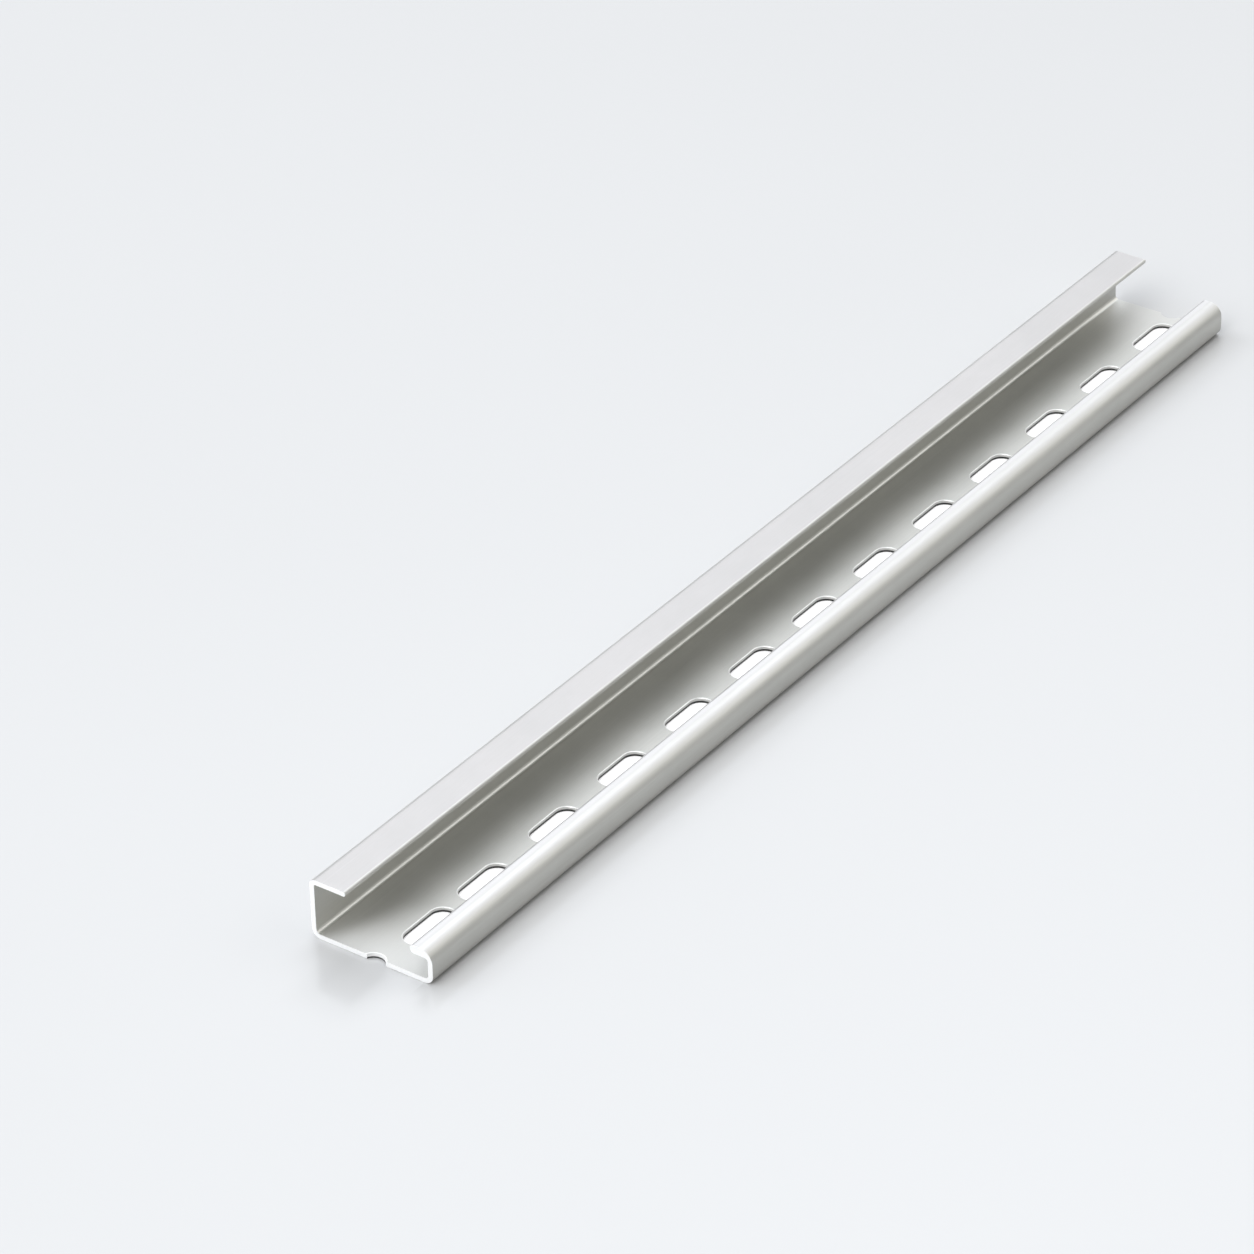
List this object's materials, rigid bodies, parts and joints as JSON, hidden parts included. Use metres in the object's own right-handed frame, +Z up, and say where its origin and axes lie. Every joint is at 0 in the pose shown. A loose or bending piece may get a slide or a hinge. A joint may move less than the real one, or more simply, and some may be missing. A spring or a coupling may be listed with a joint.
{
  "type": "din rail",
  "caption": "Slotted G-profile mounting rail, a roll-formed steel channel with a tall and a low lipped flange and a row of slots.",
  "frame": {"origin": "centre of the rail's underside, mid-length and mid-width", "axes": "+X along the rail, +Y towards the tall flange, +Z up from the web's underside to the open side"},
  "size_m": [0.333, 0.032, 0.015],
  "materials": {
    "zinc_steel": "satin zinc-plated steel"
  },
  "bodies": {
    "root": {"slotted_rail": "zinc_steel"}
  },
  "joints": []
}
